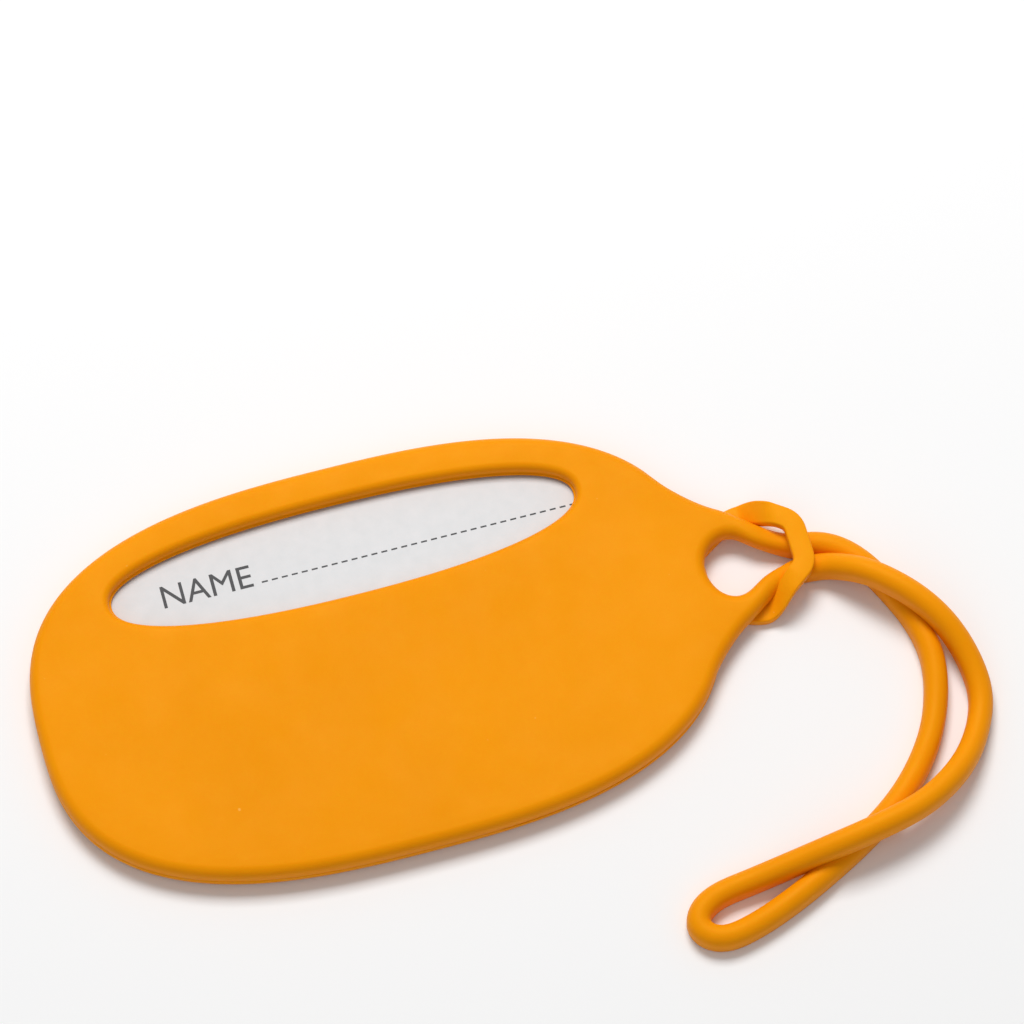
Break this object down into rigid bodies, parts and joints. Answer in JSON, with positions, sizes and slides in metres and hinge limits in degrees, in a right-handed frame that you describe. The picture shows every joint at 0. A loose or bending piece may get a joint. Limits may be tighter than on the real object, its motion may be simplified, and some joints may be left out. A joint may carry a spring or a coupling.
{
  "type": "luggage tag",
  "caption": "Flat oval silicone luggage tag with a lens-shaped window over an address card, a neck end that lifts, a closing ring and a long strap loop.",
  "frame": {"origin": "under the middle of the tag's box without its strap, at the level that the tag lies on", "axes": "+X along the tag's length towards the strap, +Y across it towards the window's side, +Z out of the front"},
  "size_m": [0.1348, 0.0867, 0.0072],
  "materials": {
    "front_silicone": "satin",
    "back_silicone": "satin",
    "strap_silicone": "satin",
    "card_paper": "matte"
  },
  "bodies": {
    "pouch": {"front_shell": "front_silicone", "back_plate": "back_silicone", "closing_tab": "back_silicone"},
    "ring": {"closing_ring": "back_silicone"},
    "card": {"address_card": "card_paper"},
    "neck": {"front_lip": "front_silicone", "neck_arm_upper": "front_silicone", "neck_arm_lower": "front_silicone"},
    "strap": {"strap_loop": "strap_silicone"}
  },
  "joints": [
    {"name": "mouth_open", "type": "hinge", "parent": "pouch", "child": "neck", "pos_m": [0.032, 0, 0.0044], "axis": [0, -1, 0], "range_deg": [0, 60]},
    {"name": "ring_bend", "type": "hinge", "parent": "pouch", "child": "ring", "pos_m": [0.0475, 0, 0], "axis": [0, 1, 0], "range_deg": [0, 18], "deforming": ["closing_ring"]},
    {"name": "card_slide", "type": "slide", "parent": "pouch", "child": "card", "axis": [1, 0, 0], "range_m": [0, 0.084]},
    {"name": "strap_bend", "type": "hinge", "parent": "neck", "child": "strap", "pos_m": [0.0588, -0.0035, 0.0033], "axis": [-1, 0, 0], "range_deg": [0, 90], "deforming": ["strap_loop"]}
  ],
  "couplings": [
    {"joint": "ring_bend", "follows": "mouth_open", "ratio": 0.3},
    {"joint": "card_slide", "follows": "mouth_open", "m_per_rad": 0.08}
  ]
}
